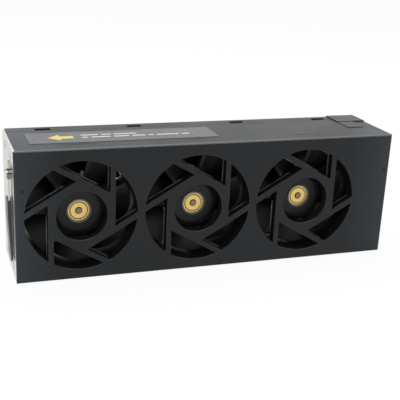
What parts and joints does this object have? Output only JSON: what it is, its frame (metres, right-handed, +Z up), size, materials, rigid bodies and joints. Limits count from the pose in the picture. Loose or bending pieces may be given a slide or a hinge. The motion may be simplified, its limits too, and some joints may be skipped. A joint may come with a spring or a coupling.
{
  "type": "server fan module",
  "caption": "Hot-plug server fan module: axial fans side by side in one plastic housing, with ring-and-strut guards, a folding pull handle and an end connector.",
  "frame": {"origin": "centre of the base, in the middle of the module's length and depth", "axes": "+X along the module from the handle end to the connector end, +Y the way the air flows, +Z up"},
  "size_m": [0.2076, 0.0456, 0.0686],
  "materials": {
    "housing_plastic": "fine moulded texture",
    "fan_plastic": "satin moulded",
    "rotor_plastic": "satin moulded",
    "label_film": "satin film",
    "sheet_metal": "zinc-coated sheet",
    "steel": "turned",
    "magnet": "matte",
    "brass": "turned",
    "stator_steel": "stacked sheets",
    "copper": "enamelled wire",
    "board": "solder mask",
    "connector_plastic": "moulded",
    "header_plastic": "moulded",
    "grip_plastic": "moulded"
  },
  "bodies": {
    "housing": {"bearing_tube_1": "brass", "bearing_tube_2": "brass", "bearing_tube_3": "brass", "bearings_1": "steel", "bearings_2": "steel", "bearings_3": "steel", "board_connector": "connector_plastic", "board_screws": "steel", "centre_housing": "housing_plastic", "end_plate": "sheet_metal", "end_rivets": "steel", "fan_board": "board", "fan_frame_1": "fan_plastic", "fan_frame_2": "fan_plastic", "fan_frame_3": "fan_plastic", "fan_headers": "header_plastic", "front_cover": "housing_plastic", "handle_bracket": "sheet_metal", "handle_pin": "steel", "label": "label_film", "motor_board_1": "board", "motor_board_2": "board", "motor_board_3": "board", "rear_cover": "housing_plastic", "stator_coils_1": "copper", "stator_coils_2": "copper", "stator_coils_3": "copper", "stator_core_1": "stator_steel", "stator_core_2": "stator_steel", "stator_core_3": "stator_steel", "stator_vanes_1": "fan_plastic", "stator_vanes_2": "fan_plastic", "stator_vanes_3": "fan_plastic"},
    "rotor_1": {"impeller_1": "rotor_plastic", "rotor_yoke_1": "steel", "magnet_ring_1": "magnet", "shaft_bush_1": "brass", "shaft_1": "steel", "shaft_clip_1": "steel"},
    "rotor_2": {"impeller_2": "rotor_plastic", "rotor_yoke_2": "steel", "magnet_ring_2": "magnet", "shaft_bush_2": "brass", "shaft_2": "steel", "shaft_clip_2": "steel"},
    "rotor_3": {"impeller_3": "rotor_plastic", "rotor_yoke_3": "steel", "magnet_ring_3": "magnet", "shaft_bush_3": "brass", "shaft_3": "steel", "shaft_clip_3": "steel"},
    "handle": {"handle_arm": "sheet_metal", "handle_grip": "grip_plastic"}
  },
  "joints": [
    {"name": "rotor_spin_1", "type": "hinge", "parent": "housing", "child": "rotor_1", "pos_m": [-0.0692, 0, 0.0334], "axis": [0, 1, 0], "continuous": true},
    {"name": "rotor_spin_2", "type": "hinge", "parent": "housing", "child": "rotor_2", "pos_m": [-0.0084, 0, 0.0334], "axis": [0, 1, 0], "continuous": true},
    {"name": "rotor_spin_3", "type": "hinge", "parent": "housing", "child": "rotor_3", "pos_m": [0.0524, 0, 0.0334], "axis": [0, 1, 0], "continuous": true},
    {"name": "handle_fold", "type": "hinge", "parent": "housing", "child": "handle", "pos_m": [-0.10345, 0, 0.0538], "axis": [0, 1, 0], "range_deg": [0, 90]}
  ]
}
